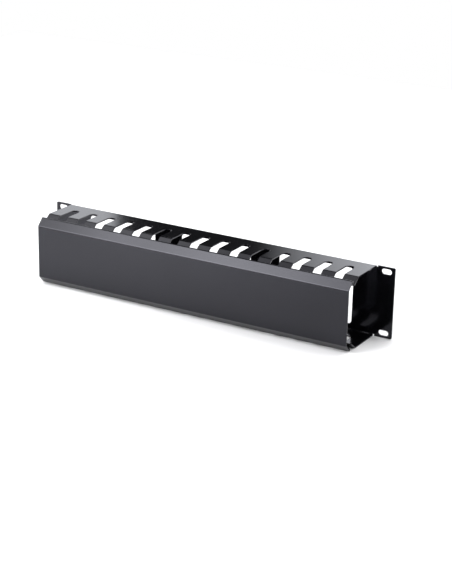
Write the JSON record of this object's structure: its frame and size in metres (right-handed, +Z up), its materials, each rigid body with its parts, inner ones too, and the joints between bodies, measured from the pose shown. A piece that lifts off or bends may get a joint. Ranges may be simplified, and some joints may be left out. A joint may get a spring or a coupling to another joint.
{
  "type": "horizontal cable manager",
  "caption": "Rack-width folded steel cable duct with finger slots along its top and bottom, a windowed back, slotted ears and a snap-off front cover.",
  "frame": {"origin": "middle of the four ear slots, on the rear faces of the ears that meet the rack's posts", "axes": "+X along the duct, +Y out of the back and into the rack, +Z up; the cover faces -Y"},
  "size_m": [0.4826, 0.074, 0.0882],
  "materials": {
    "black_powder_coat": "satin black powder coat on folded sheet steel",
    "spring_steel": "bare rolled spring steel"
  },
  "bodies": {
    "duct": {"duct_body": "black_powder_coat"},
    "cover": {"snap_cover": "black_powder_coat", "cover_spring_1": "spring_steel", "cover_spring_2": "spring_steel", "cover_spring_3": "spring_steel", "cover_spring_4": "spring_steel"}
  },
  "joints": [
    {"name": "cover_pull", "type": "slide", "parent": "duct", "child": "cover", "axis": [0, -1, 0], "range_m": [0, 0.08]}
  ]
}
